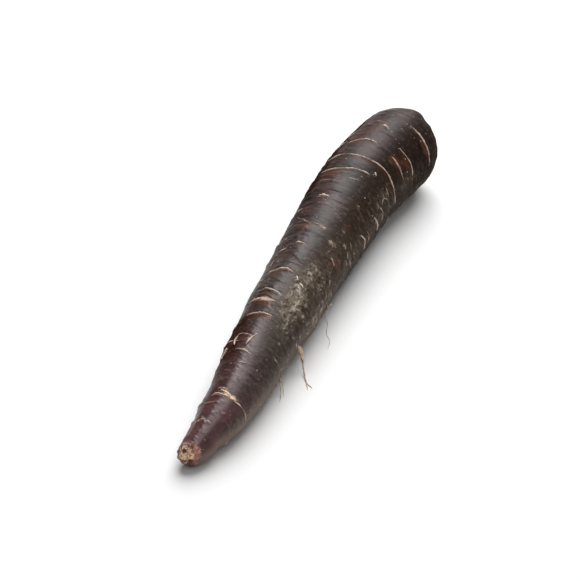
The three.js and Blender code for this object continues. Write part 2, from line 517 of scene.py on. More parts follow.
# A route is a list of places: a station, in millimetres from the tip, and an angle, which is
# 0 at the top and goes up towards the left.
ROUTES = {
    "ring": [
        [(158, 50), (160, 18), (161, -25), (161, -40), (160, -58), (158, -90)],
        [(150, 48), (151, 17), (153, -12), (154, -26)], [(168, 34), (170.4, 16), (171, -4)],
        [(188, -25), (187, -50), (186, -68), (184, -84)], [(175, -34), (174, -60), (173, -78)],
        [(169, -33), (168, -52), (167, -72)], [(78, 42), (79, 24), (78, 4), (77, -6)],
        [(128.4, -66), (129.6, -80), (128.6, -92)], [(141, -71), (141.8, -82), (141.2, -93)],
    ],
    "scuff": [
        [(156.6, -31), (155.8, -38)], [(88.8, -10), (87.3, -15.5)], [(86.8, -22), (85.6, -30)],
        [(84.5, -21), (84.0, -25)],
    ],
    "crease": [
        [(147, 45), (147, 30), (147, 10)],
    ],
    "faint": [
        [(144, 34), (144, 12)], [(187.5, 42), (189.5, 26)], [(181, 38), (184, 20), (184, 4)],
        [(130, 16), (130, -2)], [(122, 46), (119, 26), (118, 13)], [(118, 13), (114, 21), (110, 24)],
        [(72, 6), (70, 1), (69.4, -5), (67, -8)], [(46, 40), (47, 28)], [(62.4, 58), (62, 44)],
        [(99, 58), (100, 44)], [(137, 58), (138, 40)], [(21.5, 44), (22.3, 22), (22.8, 0), (22.4, -12)],
        [(15.8, 20), (14.6, 8)], [(20.4, -18), (19.4, -27), (20, -36)],
        [(113.6, -30), (113.0, -34), (111.6, -35)], [(112.4, -35), (110, -38), (107, -37)],
        [(114.2, -36), (112.6, -41)], [(101, -46), (101.6, -60)], [(95, -58), (94, -74)],
        [(110.2, -56), (108.4, -70)], [(116.3, -78), (116.3, -96)], [(101.9, -77), (99, -84)],
    ],
    "thread": [
        [(147, -2), (148, -20)], [(166, 53), (170, 41)], [(174, 47), (178, 33)],
        [(181.6, 0), (179.8, -7)], [(118.6, 16), (117.8, 5), (118, -4)],
        [(97.5, 38), (96.2, 48), (93.4, 49)], [(101, 44), (103, 30)], [(47, 22), (46.8, 8), (45.8, -9)],
        [(41, 4), (42, -14)], [(51.2, -49), (51.2, -67)], [(84.6, 60), (85.4, 46)],
        [(108.4, 58), (109, 42)], [(126, 60), (127, 44)],
        [(26.4, -2), (26, -24), (26, -50), (25.6, -93)], [(28.0, 16), (27.2, 0), (26.6, -14)],
        [(14.5, 4), (14, -15)], [(120.6, -58), (119, -68)], [(117, -63), (115, -72)],
        [(133, -73), (133.4, -82), (132.4, -90)], [(146.8, -68), (147.2, -80), (145.2, -92)],
        [(149, -70), (151.6, -67), (153.4, -74), (152.8, -82)], [(155.6, -60), (154.4, -73)],
        [(113.5, -69), (113.1, -79)], [(99.2, -63), (96.9, -70)], [(65.9, -79), (66.9, -96)],
    ],
    "scar": [
        [(182.6, 6), (181.8, 0)], [(73, 38), (74, 20), (73.6, -2)],
        [(66.4, 3), (66.2, -5), (65.6, -13)], [(68.0, -90), (70.0, -104)],
    ],
    "slit": [
        [(134, 22), (134, 6)], [(106, 17), (106, 2)], [(78.6, 25), (78.4, 10)],
        [(49, 30), (51.2, 33), (53.6, 29)], [(49.6, 11), (51.6, 8), (53.8, 3), (55.8, -2)],
        [(44.4, 68), (46.4, 62), (48.4, 53)],
    ],
    "blot": [
        [(118, 9), (117.9, -3), (117.5, -14)], [(55.0, 25), (54.8, 13)], [(52.4, 7), (54.0, 2)],
        [(13.9, 26), (14.5, 14)],
    ],
    "rose": [
        [(88.6, 40), (90, 26), (91, 14), (90, -2)], [(73, 50), (73, 34), (73.6, 26)],
        [(65, 40), (66, 14), (66, -13)], [(53.8, 30), (54.9, 22), (54.4, 4)],
        [(25, 36), (26, 12), (26.2, -6)], [(28.5, 26), (28.6, 2)], [(25.2, 30), (26.2, 14)],
        [(13.0, 40), (13.8, 24), (14.6, 12)], [(107.4, -46), (105.4, -54)],
    ],
}
MARKS = [(kind, route) for kind, routes in ROUTES.items() for route in routes]
print("marks put down by hand:", len(MARKS))

# %% Marks on the sides that show less
RANKS = (82, 112, 150, 180, -128, -158)
FIRST_MARK = 12
LAST_MARK = 190
luck = random.Random(7)
by_hand = len(MARKS)
for rank in RANKS:
    place = FIRST_MARK + luck.uniform(0, 8)
    while place < LAST_MARK:
        kind = luck.choice(["ring", "faint", "thread", "faint", "crease", "thread", "faint", "slit"])
        half = luck.uniform(5, 14) if kind == "slit" else luck.uniform(8, 36)
        middle = rank + luck.uniform(-9, 9)
        end = place - luck.uniform(-1, 1)
        MARKS.append((kind, [(end, middle - half), (place, middle), (end, middle + half)]))
        place += luck.uniform(6, 17)
print("marks drawn at random:", len(MARKS) - by_hand)

# %% Press the marks into the skin
# The colour of a line isn't stored, but the way across it, as a part of its half width: it
# runs evenly from one point of the grid to the next, so the material can draw a finer line
# from it than the grid could hold.
FAR_ACROSS = 8.0
LINE_FADES_FROM = 3.5
LINE_FADES_OUT = 6.0
MARK_REACH = 7.0
GROOVE_BESIDE_LINE = 0.30
THINNEST = 0.45
THICKEST = 1.7
relief = np.zeros(station.shape)
field = {name: np.zeros(station.shape) for name in ("line", "warm", "rust", "dust")}
field["across"] = np.full(station.shape, FAR_ACROSS)
row_station = station.mean(axis=1)


def belly(place):
    """How full a mark is along its way: 0 at its ends and 1 in its middle."""
    return np.sqrt(np.clip(4 * place * (1 - place), 0, 1))


def raise_field(label, values, where=...):
    """Raises one of the skin's numbers to new values, where they are higher."""
    field[label][where] = np.maximum(field[label][where], values)


def bell(across, middle, width):
    """A smooth bell across a line."""
    return np.exp(-((across - middle) / width) ** 2)


fatness = np.clip(1 + 0.9 * random_field(grain, 4.0, 130), THINNEST, THICKEST)


def press(kind, route):
    """Adds one mark to the relief, to the lines and to the stain beside them."""
    look = KINDS[kind]
    ends_at = [s for s, _ in route]
    near = (row_station > min(ends_at) - MARK_REACH) & (row_station < max(ends_at) + MARK_REACH)
    near[rim_row - 2:] = False
    across, place = from_route(list(rounded(route, ROUND_STEPS)), near)
    ends = belly(place)
    width = GROOVE_BESIDE_LINE + look["half"]
    core = bell(across, -0.6 * width, width) * ends
    ridge = bell(across, 0.5 * width, 1.2 * width) * ends
    halo = bell(across, -1.5 * width, 2.2 * width + 0.4) * ends
    relief[near] += look["lip"] * ridge - look["groove"] * core
    raise_field("rust", look["rust"] * halo * (0.8 + 0.4 * patches[near]), near)
    if look["pale"] == 0:
        return
    fullness = ends ** 2 if kind == "scar" else ends
    half = look["half"] * (0.25 + 0.75 * fullness) * fatness[near]
    part = np.clip(across / half, -FAR_ACROSS, FAR_ACROSS)
    part = np.where(ends > 0.05, part, FAR_ACROSS)
    fade = np.clip((LINE_FADES_OUT - np.abs(part)) / (LINE_FADES_OUT - LINE_FADES_FROM), 0, 1)
    nearer = np.abs(part) < np.abs(field["across"][near])
    for label, value in (("across", part), ("line", look["pale"] * fade), ("warm", look["warm"])):
        field[label][near] = np.where(nearer, value, field[label][near])


for kind, route in MARKS:
    press(kind, route)
print("deepest groove and highest lip in mm:", relief.min().round(2), relief.max().round(2))


# %% Stains and swellings
def patch(s, a, along_reach, around_reach):
    """A soft patch round a station and an angle: 1 in its middle and 0 far away."""
    ahead = (station - s) / along_reach
    beside = ((turn - a + 180) % 360 - 180) / around_reach
    return np.exp(-(ahead ** 2 + beside ** 2))


# Broad brown stains, as a station, an angle, how far they reach along and around, how much.
STAINS = [
    (168.6, -46, 2.2, 16, 0.9),
    (172.4, -56, 1.8, 14, 0.8),
    (185.4, -62, 1.6, 20, 0.8),
    (147.4, 26, 1.4, 18, 0.8),
    (160.0, 36, 1.6, 16, 0.5),
    (116.0, 16, 2.0, 16, 0.6),
    (71.6, 24, 1.0, 18, 0.6),
    (76.4, 20, 1.0, 20, 0.6),
    (64.0, 26, 1.0, 18, 0.5),
    (53.0, 20, 1.6, 8, 0.5),
    (97.0, 30, 2.0, 14, 0.4),
    (124.0, -40, 4.0, 14, 0.4),
    (107.5, -58, 4.0, 13, 0.6),
    (103.0, -49, 2.6, 7, 0.5),
]
for *where, amount in STAINS:
    raise_field("rust", amount * patch(*where))
# Broad swellings of one flank, as a station, an angle, both reaches and millimetres outward.
BULGES = [
    (12.6, -94, 2.8, 38, 0.85),
    (8.0, -95, 2.0, 38, -0.5),
    (23.0, 60, 3.0, 30, -0.3),
    (33.0, 62, 3.0, 30, 0.3),
    (45.0, 66, 3.0, 26, 0.35),
    (199.0, -35, 2.6, 8, 0.65),
    (198.0, -12, 3.0, 11, -0.35),
]
for *where, rise in BULGES:
    relief += rise * patch(*where)
print("part of the skin that is stained:", (field["rust"] > 0.3).mean().round(3))

# %% Where soil clings
# Each row is a station, an angle, how far it reaches along and around, and how much.
SOIL = [
    (80, -30, 15, 26, 1.0),
    (92, -32, 9, 16, 0.8),
    (92, -52, 13, 20, 0.55),
    (68, -42, 10, 20, 0.55),
    (108, -46, 11, 18, 0.4),
    (116, -78, 16, 20, 0.45),
    (142, -84, 20, 18, 0.4),
    (168, -80, 8, 12, 0.5),
    (58, -88, 26, 18, 0.5),
    (28, -88, 22, 24, 0.5),
    (90, 32, 16, 16, 0.3),
    (120, 150, 50, 50, 0.6),
    (60, 180, 40, 50, 0.7),
    (170, -150, 25, 40, 0.6),
    (113.2, -33, 1.8, 8, 0.75),
    (104.5, -38, 1.0, 5, 0.5),
    (101.5, -33, 1.2, 6, 0.5),
    (85, -84, 19, 19, 0.85),
    (98.5, -29, 1.0, 5, 0.9),
    (117.0, -54, 1.2, 6, 0.75),
    (121.7, -40, 1.0, 4, 0.6),
    (93.6, -84, 2.2, 8, 0.9),
    (75.7, -58, 1.8, 7, 0.8),
    (65.1, -37, 1.8, 8, 0.8),
    (65.7, -65, 1.3, 6, 0.8),
    (58.0, -46, 1.0, 5, 0.7),
    (146.0, -64, 1.6, 6, 0.7),
    (153.2, -87, 1.8, 7, 0.9),
    (150.0, -64, 7.0, 11, 0.4),
]
# Where it rubbed off again, as a station, an angle and both reaches.
RUBBED = [(86.8, -42, 1.7, 8), (84.4, -50, 1.3, 6), (77.8, -50, 1.4, 6), (89.6, -52, 1.2, 5)]
for *where, amount in SOIL:
    raise_field("dust", amount * patch(*where))
for where in RUBBED:
    field["dust"] *= 1 - patch(*where)
print("part of the skin that is dusty:", (field["dust"] > 0.3).mean().round(3))

# %% [markdown]
# ## The broken thin end
# The thread-thin end of the root tore off in the soil, and the wound healed over with
# cork. It is a rough tan knob with a few deep pits, where the root's strands pulled out,
# and a purple rim of skin around it. The wound reaches furthest up the root along the top.

# %% Thin end
# Each pit is its place across the end, leftward and up in millimetres, its size and depth.
PITS = [
    (-0.3, 9.1, 0.78, 0.9),
    (-3.1, 5.7, 0.85, 0.9),
    (-2.2, 5.5, 0.40, 0.4),
    (-1.4, 5.4, 0.62, 0.5),
    (-0.4, 5.2, 0.38, 0.4),
    (0.5, 5.6, 0.38, 0.4),
    (1.9, 7.6, 0.35, 0.3),
    (-1.9, 3.7, 0.35, 0.3),
]
HEART = (-1.1, 7.4)
HEART_SIZE = 3.7
# How far the wound reaches up the root, in millimetres, and how much more at its highest.
WOUND_REACH = 3.2
WOUND_SLANT = 1.9
WOUND_HIGHEST_AT = -5
WOUND_RAGGED = 0.8
WOUND_FAR = 3
WOUND_EDGE = 0.35
CRUST_HEIGHT = 0.42
RAGGED_PITS = 0.9
PITS_BELOW = 4
HEART_BELOW = 6
slant = WOUND_SLANT * np.cos(np.radians(turn - WOUND_HIGHEST_AT))
wound_reach = WOUND_REACH + slant + WOUND_RAGGED * random_field(grain, 1.6, 20)
wound_depth = np.clip(wound_reach - station, -WOUND_FAR, WOUND_FAR)
wound = 1 / (1 + np.exp(-wound_depth / WOUND_EDGE))
relief += wound * CRUST_HEIGHT * random_field(points / MM, 1.3, 10, octaves=3)
across_end = points[:, :, 1] / MM
up_end = points[:, :, 2] / MM
ragged_edge = 1 + RAGGED_PITS * random_field(points / MM, 0.7, 60)
on_end = station < PITS_BELOW
pits = np.zeros(station.shape)
for left, up, size, depth in PITS:
    away = np.hypot(across_end - left, up_end - up) / size * ragged_edge
    hole = np.exp(-away ** 4) * on_end
    relief -= depth * hole
    pits = np.maximum(pits, hole)
heart = np.hypot(across_end - HEART[0], up_end - HEART[1]) / HEART_SIZE
field["wound"] = wound_depth
field["heart"] = np.clip(1 - heart, -1, 1) * (station < HEART_BELOW)
# Small wounds further up, healed the same way: a station, an angle and both reaches.
HEALED = [(26.5, -20, 0.85, 13), (26.9, -8, 0.6, 9), (27.7, 2, 0.35, 8)]
for s, a, along_reach, around_reach in HEALED:
    away = np.hypot((station - s) / along_reach, (turn - a) / around_reach)
    raise_field("wound", np.clip(1.4 * (1 - away), -WOUND_FAR, WOUND_FAR))
    raise_field("heart", np.clip(1.5 * (1.6 - away), 0, 1))
field["pit"] = pits
print("wound reaches, in mm:", station[wound > 0.5].max().round(1))

# %% [markdown]
# ## The trimmed crown
# A knife took the leaves off close to the root. The skin ends in a thin dark rim, and inside
# it stands a low cone of pale flesh, cut in a few flat strokes. Its middle is what is left
# of the leaf bases. The field called core runs from 0 at the rim to 1 in the middle, and it
# later tells the material how far in a point is.

# %% Cut flesh
# Each stroke of the knife is the angle that it faced and how steep it was.
STROKES = [(20, 0.55), (95, 0.35), (150, 0.5), (215, 0.4), (290, 0.5), (335, 0.3)]
STROKE_HEIGHT = 1.1
STUMP_ROUGHNESS = 0.5
FLESH_ROUGHNESS = 0.08
core = np.zeros(station.shape)
core[rim_row + 1:] = (np.arange(1, CUT_ROWS) / CUT_ROWS)[:, None]
facets = np.full(station.shape, -1.0)
for stroke, tilt in STROKES:
    facets = np.maximum(facets, tilt * np.cos(np.radians(turn - stroke)) - 0.1)
cone = np.clip(core * 4, 0, 1) * np.clip((0.75 - core) * 5, 0, 1)
relief += cone * STROKE_HEIGHT * (facets - 0.3)
stub = np.clip((core - 0.55) * 6, 0, 1)
relief += stub * STUMP_ROUGHNESS * random_field(points / MM, 1.5, 30, octaves=3)
off_rim = np.clip(core * 12, 0, 1)
relief += off_rim * FLESH_ROUGHNESS * random_field(points / MM, 0.8, 40)
field["core"] = core
field["bare"] = np.zeros(station.shape)
field["bare"][rim_row + 1:] = 1
field["relief"] = relief
print("rows on the cut:", CUT_ROWS - 1)

# %% [markdown]
# ## Colours and materials
# Black carrot skin isn't black. It is a very dark plum that turns wine red at the thin end,
# under a thin grey-brown film of dried soil. Paint layers work well: the plum first, then the
# red, the creases, the soil, the cork and the wound on top. Some layers are painted light:
# shade in the creases, in the pits of the wound, along the left edge and over the right flank,
# a highlight on the thin end, and light thrown up from the sheet onto the lower right flank.
# The masks come from places on the root and from the skin's own numbers, and clouds break
# them up.


# %% Colours
def tone(red, green, blue):
    """A colour from 0 to 255, as seen on a screen, turned into the light it stands for."""
    def light(value):
        value /= 255
        return value / 12.92 if value <= 0.04045 else ((value + 0.055) / 1.055) ** 2.4
    return (light(red), light(green), light(blue), 1.0)


PLUM_BLACK = tone(60, 38, 36)
SLATE_BLACK = tone(50, 42, 38)
WINE_RED = tone(96, 54, 56)
LENS_BROWN = tone(84, 52, 46)
TAUPE_MARK_AND_REFLECTION = tone(132, 112, 98)
DARK_MARK_AND_SHADE = tone(28, 17, 15)
HIGHLIGHT_MAUVE = tone(142, 120, 124)
RUST_BROWN = tone(82, 46, 33)
SHADE_BLACK = tone(43, 31, 19)
SOIL_OLIVE = tone(114, 103, 89)
SOIL_PALE = tone(181, 171, 154)
CORK_BROWN = tone(128, 106, 94)
CORK_CREAM = tone(224, 209, 193)
CORK_ROSE = tone(206, 168, 152)
FLESH_CREAM = tone(232, 222, 200)
FLESH_SHADE = tone(206, 190, 158)
FLESH_GREEN = tone(142, 140, 104)
WOUND_TAN = tone(200, 144, 104)
WOUND_CREAM = tone(255, 222, 182)
WOUND_PINK = tone(190, 132, 120)
WOUND_PURPLE = tone(88, 54, 54)
PIT_BROWN_AND_SHADE = tone(76, 38, 22)
ROOTLET_BROWN = tone(166, 140, 114)
ROOTLET_PALE = tone(230, 212, 184)
SOIL_DARK = tone(96, 86, 74)
SOIL_DRY = tone(172, 162, 148)
STUMP_GREEN = tone(112, 104, 72)
STUMP_PALE = tone(176, 170, 130)
print("plum black as light:", [round(part, 3) for part in PLUM_BLACK[:3]])


# %% Material helpers
def shader(name):
    """A new material and its node writer."""
    material = bpy.data.materials.new(name)
    material.use_nodes = True
    return material, Nodes(material.node_tree)


def attribute(nodes, name, output="Fac"):
    """One of the skin's own numbers, or with the output Vector one of its vectors."""
    return nodes.add("ShaderNodeAttribute", attribute_name=name).outputs[output]


def bumped(nodes, height, strength, depth):
    """A bump of the surface. The depth is in millimetres."""
    return nodes.get("ShaderNodeBump", {"Height": height, "Strength": strength, "Distance": depth * MM})


def finish(nodes, looks):
    """Feeds the named inputs of the material's surface, and says which."""
    surface_node = nodes.tree.nodes["Principled BSDF"]
    for label, value in looks.items():
        nodes.feed(surface_node.inputs[label], value)
    print("material:", ", ".join(looks), "from", len(nodes.tree.nodes), "nodes")


def object_cloud(nodes, sizes, detail):
    """A cloud that is laid in the piece itself. Its lumps have these sizes in millimetres."""
    spot = nodes.add("ShaderNodeTexCoord").outputs["Object"]
    return nodes.cloud(spot, tuple(size * MM for size in sizes), detail, 0.6)


def grainy(name, sizes, detail, dark, pale, rough, rougher):
    """A dry material with grains of two tones. The pale grains are the rougher ones."""
    material, nodes = shader(name)
    grains = object_cloud(nodes, sizes, detail)
    colour = nodes.blend(nodes.step(grains, 0.35, 0.65), dark, pale)
    finish(nodes, {"Base Color": colour, "Roughness": nodes.line(grains, rougher, rough)})
    return material


def cork_look(nodes, way):
    """How strong a line of cork is at a place, and its colour there."""
    change = nodes.ripple(way, (2.4, 3.6, 3.6), 4.0, 0.7)
    strength = nodes.plus(attribute(nodes, "line"), nodes.times(change, 2.2))
    fresh = nodes.blend(attribute(nodes, "warm"), CORK_CREAM, CORK_ROSE)
    return strength, nodes.blend(nodes.step(strength, 0.25, 0.95), CORK_BROWN, fresh)


# %% Skin material: plum and wine red
# The colour is built up in coats, each a mask and a tone. The limits of a step are either
# millimetres from the tip, to the left or up, or values of a cloud.
skin_material, n = shader("plum_skin")
way = attribute(n, "grain", "Vector")
from_tip, leftward, upward = n.parts(way)
clouds = n.cloud(way, (18, 12, 12), 3.0, 0.6)
near_tip = n.rest(n.step(from_tip, 6.0, 66.0))
red_patch = n.step(n.cloud(way, (12, 7, 7), 3.0, 0.6), 0.32, 0.68)
left_side = n.line(n.step(leftward, -1.0, 9.0), 0.75, 0.15)
red_flank = n.times(n.step(from_tip, 70.0, 40.0), left_side, n.line(red_patch, 0.5, 0.3))
lens = n.step(n.cloud(way, (3.2, 13, 13), 2.0, 0.55, 0.5), 0.50, 0.66)
colour = n.coats(
    PLUM_BLACK,
    (n.step(clouds, 0.35, 0.65), SLATE_BLACK),
    (n.times(near_tip, n.line(red_patch, 0.7, 0.25)), WINE_RED),
    (red_flank, WINE_RED),
    (n.times(lens, left_side, 0.75), LENS_BROWN),
)

# %% Skin material: the flanks, with painted shade and a painted highlight
slanted = n.plus(leftward, n.times(from_tip, -0.02))
left_edge = n.times(n.step(slanted, 1.5, 7.5), n.step(from_tip, 4.0, 40.0))
# A painted highlight: a pale mauve band along the upper right of the thin end.
upper_right = n.times(n.step(leftward, 2.5, -0.5), n.step(leftward, -7.5, -3.5))
painted_highlight = n.times(upper_right, n.step(upward, 0.0, 4.0), n.step(from_tip, 68.0, 36.0), 0.52)
turned_over = n.plus(leftward, n.times(n.step(from_tip, 85.0, 125.0), 3.0))
right_side = n.step(turned_over, 3.0, -6.5)
colour = n.coats(
    colour,
    # painted shade along the left edge
    (n.times(left_edge, 0.45), DARK_MARK_AND_SHADE),
    # painted highlight on the thin end
    (painted_highlight, HIGHLIGHT_MAUVE),
    # painted shade: the right flank is darkened from the middle on, and darker still towards the crown
    (n.times(right_side, n.step(from_tip, 14.0, 60.0), 0.8), SHADE_BLACK),
    (n.times(right_side, n.step(from_tip, 125.0, 180.0), 0.5), DARK_MARK_AND_SHADE),
)

# %% Skin material: specks, blots and fine lines
fine = n.cloud(way, (1.5, 1.3, 1.3), 3.0, 0.65)
away_from_tip = n.step(from_tip, 6.0, 50.0)
blots = n.cloud(way, (2.6, 4.5, 4.5), 3.0, 0.6, 0.4)
dark_lines = n.contour(n.cloud(way, (2.6, 15, 15), 2.0, 0.5, 0.3), 16.0)
pale_lines = n.contour(n.cloud(way, (3.1, 19, 19), 2.0, 0.55, 0.4), 30.0)
pale_zone = n.step(n.cloud(way, (8, 7, 7), 1.0), 0.50, 0.62)
furrow = n.step(attribute(n, "furrow"), 0.15, 0.8)
rust_edge = n.times(attribute(n, "rust"), n.plus(n.cloud(way, (1.4, 5, 5), 2.0, 0.6), 0.45))
colour = n.coats(
    colour,
    (n.times(n.step(fine, 0.52, 0.74), away_from_tip, 0.20), TAUPE_MARK_AND_REFLECTION),
    (n.times(n.step(fine, 0.49, 0.30), n.line(away_from_tip, 0.5, 0.2)), DARK_MARK_AND_SHADE),
    (n.times(n.step(blots, 0.55, 0.68), 0.5), DARK_MARK_AND_SHADE),
    (n.times(n.step(blots, 0.44, 0.32), n.rest(right_side), 0.4), LENS_BROWN),
    (n.times(n.step(dark_lines, 0.2, 0.9), away_from_tip, 0.3), DARK_MARK_AND_SHADE),
    # painted shade in the creases of the relief
    (n.times(furrow, n.line(n.rest(near_tip), 0.5, 0.25)), DARK_MARK_AND_SHADE),
    (n.times(n.step(pale_lines, 0.3, 0.9), pale_zone, 0.4), TAUPE_MARK_AND_REFLECTION),
    (n.step(rust_edge, 0.10, 0.80), RUST_BROWN),
)

# %% Skin material: soil, and a painted reflection
dust = attribute(n, "dust")
# A painted reflection: the lower right flank near the tip is made paler, with light thrown up from the
# sheet.
lower_right_reflection = n.times(n.step(upward, 6.5, 0.0), n.step(leftward, -1.5, -5.5))
lower_right_reflection = n.times(lower_right_reflection, n.step(from_tip, 130.0, 60.0))
mottle = n.step(n.cloud(way, (1.5, 2.4, 2.4), 3.0, 0.65), 0.54, 0.72)
in_the_middle = n.times(n.step(from_tip, 45.0, 85.0), n.step(from_tip, 190.0, 130.0))
soil_grain = n.cloud(way, (1.8, 1.7, 1.7), 4.0, 0.75)
soil_streak = n.cloud(way, (1.5, 6, 6), 3.0, 0.6)
soil = n.plus(n.times(soil_grain, 0.78), n.times(soil_streak, 0.22))
soil_cover = n.times(n.step(n.plus(soil, n.times(dust, 0.22)), 0.62, 0.70), dust, 0.95)
clumps = n.plus(n.times(n.cloud(way, (2.8, 2.4, 2.4), 2.0, 0.6), 0.6), n.times(soil_grain, 0.4))
colour = n.coats(
    colour,
    (n.times(lower_right_reflection, n.line(near_tip, 0.3, 0.3)), TAUPE_MARK_AND_REFLECTION),
    (n.times(mottle, right_side, n.line(in_the_middle, 0.35, 0.15)), SOIL_OLIVE),
    (n.times(dust, n.step(soil, 0.34, 0.54), 0.62), SOIL_OLIVE),
    (soil_cover, n.blend(n.step(clumps, 0.48, 0.62), SOIL_OLIVE, SOIL_PALE)),
)

# %% Skin material: cork
strength, cork_colour = cork_look(n, way)
edge = n.ripple(way, (0.7, 1.4, 1.4), 3.0, 0.65)
off = n.math("ABSOLUTE", n.plus(attribute(n, "across"), n.times(edge, 2.6)))
cork_mask = n.times(n.step(off, 1.7, 0.3), n.step(strength, 0.02, 0.55), 0.92)
cork_edge = n.blend(0.45, cork_colour, CORK_BROWN)
colour = n.coats(colour, (cork_mask, n.blend(n.step(off, 0.9, 0.1), cork_edge, cork_colour)))

# %% Skin material: the wound
wound_grain = n.ripple(way, (1.3, 2.4, 2.4), 3.0, 0.65)
wound_mask = n.step(n.plus(attribute(n, "wound"), n.times(wound_grain, 4.0)), -0.7, 1.1)
crust = n.cloud(way, (1.2, 3.0, 3.0), 3.0, 0.65)
lower_rim = n.times(n.step(upward, 2.0, -5.0), -0.12)
right_rim = n.times(n.step(leftward, -1.0, -4.5), 0.16)
fresh_rim = n.plus(crust, n.plus(lower_rim, right_rim, -0.07))
heart_edge = n.plus(attribute(n, "heart"), n.times(wound_grain, 1.5))
wound_colour = n.coats(
    WOUND_PURPLE,
    (n.step(fresh_rim, 0.38, 0.64), WOUND_PINK),
    (n.step(heart_edge, 0.05, 0.35), n.blend(n.step(crust, 0.42, 0.54), WOUND_TAN, WOUND_CREAM)),
    (n.step(crust, 0.40, 0.28), PIT_BROWN_AND_SHADE),
)
# Painted shade: the pits are painted dark brown as well as sunk.
pit = n.step(attribute(n, "pit"), 0.25, 0.7)
colour = n.coats(colour, (wound_mask, wound_colour), (pit, PIT_BROWN_AND_SHADE))

# %% Skin material: gloss and fine bumps
# The light lies as a sheen along the top. Soil, cork and the wound are dull.
to_crown = n.step(from_tip, 0.0, 190.0)
red_side = n.times(n.step(from_tip, 74.0, 56.0), n.step(from_tip, 22.0, 32.0))
red_side = n.times(red_side, n.step(leftward, 0.5, 4.0))
gloss = n.plus(n.times(right_side, -0.22), n.times(to_crown, -0.22), 0.50)
gloss = n.plus(gloss, n.times(left_edge, -0.32), n.times(n.step(from_tip, 75.0, 35.0), 0.18))
gloss = n.plus(gloss, n.times(red_side, -0.30))
dull = n.math("MAXIMUM", n.math("MAXIMUM", soil_cover, cork_mask), n.times(wound_mask, 0.6))
rough = n.plus(n.line(clouds, 0.16, 0.25), n.times(right_side, 0.30), n.times(to_crown, 0.12))
rough = n.blend(dull, rough, 0.8, NUMBER_SOCKETS)
micro = n.plus(n.times(n.cloud(way, (0.35, 0.5, 0.5), 3.0), 0.5), n.times(fine, 0.6))
micro = n.plus(micro, n.times(soil_cover, soil_grain, 1.2))
bump = bumped(n, micro, 0.6, 0.12)
finish(n, {"Base Color": colour, "Roughness": rough, "Normal": bump, "Specular IOR Level": gloss})

# %% Cut flesh material
flesh_material, n = shader("cut_flesh")
inward = attribute(n, "core")
streaks = object_cloud(n, (6, 0.7, 0.7), 3.0)
blotch = object_cloud(n, (2.5, 2.5, 2.5), 3.0)
green_middle = n.step(n.plus(inward, n.times(blotch, 0.5)), 0.7, 1.0)
skin_edge = n.rest(n.step(n.plus(inward, n.times(blotch, 0.08)), 0.06, 0.13))
colour = n.coats(
    FLESH_CREAM,
    (n.step(streaks, 0.35, 0.7), FLESH_SHADE),
    (n.times(green_middle, 0.85), FLESH_GREEN),
    (skin_edge, PLUM_BLACK),
)
bump = bumped(n, object_cloud(n, (0.5, 0.5, 0.5), 3.0), 0.5, 0.15)
finish(n, {"Base Color": colour, "Roughness": n.line(blotch, 0.2, 0.5), "Normal": bump})

# %% Cork material
# The cork lines and flecks carry two numbers of their own: how pale and how orange they are.
cork_material, n = shader("pale_cork")
grains = object_cloud(n, (0.7, 0.7, 0.7), 3.0)
strength, colour = cork_look(n, attribute(n, "grain", "Vector"))
bump = bumped(n, grains, 0.5, 0.1)
finish(n, {"Base Color": colour, "Roughness": n.line(grains, 0.2, 0.6), "Normal": bump})

# %% Other small materials
# Each has the sizes of its grains, their detail, two tones and its lowest roughness, and how
# much rougher its pale grains are.
rootlet_material = grainy("dry_rootlet", (1.6, 1.6, 1.6), 3.0, ROOTLET_BROWN, ROOTLET_PALE, 0.6, 0.2)
soil_material = grainy("dry_soil", (0.9, 0.9, 0.9), 2.0, SOIL_DARK, SOIL_DRY, 0.85, 0.1)
leaf_material = grainy("trimmed_leaf_base", (1.4, 0.8, 0.8), 3.0, STUMP_GREEN, STUMP_PALE, 0.6, 0.2)

# %% [markdown]
# ## The skin's own relief, grown in Geometry Nodes
# Between the marks the skin is full of fine creases that run round the root, broad soft
# swellings and small pores. Nobody places those by hand. They follow one rule all over, so
# a Geometry Nodes tree makes them: stretched clouds give the creases, and each depth is an
# input with a name, so that another carrot needs only other numbers. The tree moves each
# point of the closed grid along its normal, and never below the surface it rests on.

# %% Skin mesh
tip_index = len(rows) * COLUMNS
crown_index = tip_index + 1


def grid_faces():
    """The faces of the closed grid, with a fan over each pole."""
    last = (len(rows) - 1) * COLUMNS
    for j in range(COLUMNS):
        k = (j + 1) % COLUMNS
        yield (tip_index, k, j)
        yield (crown_index, last + j, last + k)
        for a in range(0, last, COLUMNS):
            yield (a + j, a + k, a + COLUMNS + k, a + COLUMNS + j)


def new_mesh(name, verts, edges, faces, numbers, vectors):
    """A mesh with its own numbers and vectors for every point."""
    mesh = bpy.data.meshes.new(name)
    mesh.from_pydata(verts, edges, faces)
    for label, values in numbers.items():
        mesh.attributes.new(label, "FLOAT", "POINT").data.foreach_set("value", np.ravel(values))
    for label, values in vectors.items():
        mesh.attributes.new(label, "FLOAT_VECTOR", "POINT").data.foreach_set("vector", np.ravel(values))
    return mesh


def new_object(name, mesh):
    """A new object in the scene."""
    obj = bpy.data.objects.new(name, mesh)
    bpy.context.scene.collection.objects.link(obj)
    return obj


verts = [tuple(p) for p in points.reshape(-1, 3)] + [tuple(tip_pole), tuple(crown_pole)]
numbers = {label: np.append(v.ravel(), [v[0].mean(), v[-1].mean()]) for label, v in field.items()}
poles = [[along[0].mean(), 0, 0], [along[-1].mean(), 0, 0]]
vectors = {"grain": np.vstack([grain.reshape(-1, 3), poles])}
skin = new_object("skin", new_mesh("skin", verts, [], list(grid_faces()), numbers, vectors))
volume = sum(p.center.dot(p.normal) * p.area for p in skin.data.polygons) / 3
print("faces:", len(skin.data.polygons), "volume in cm3:", round(volume * 1e6, 1))


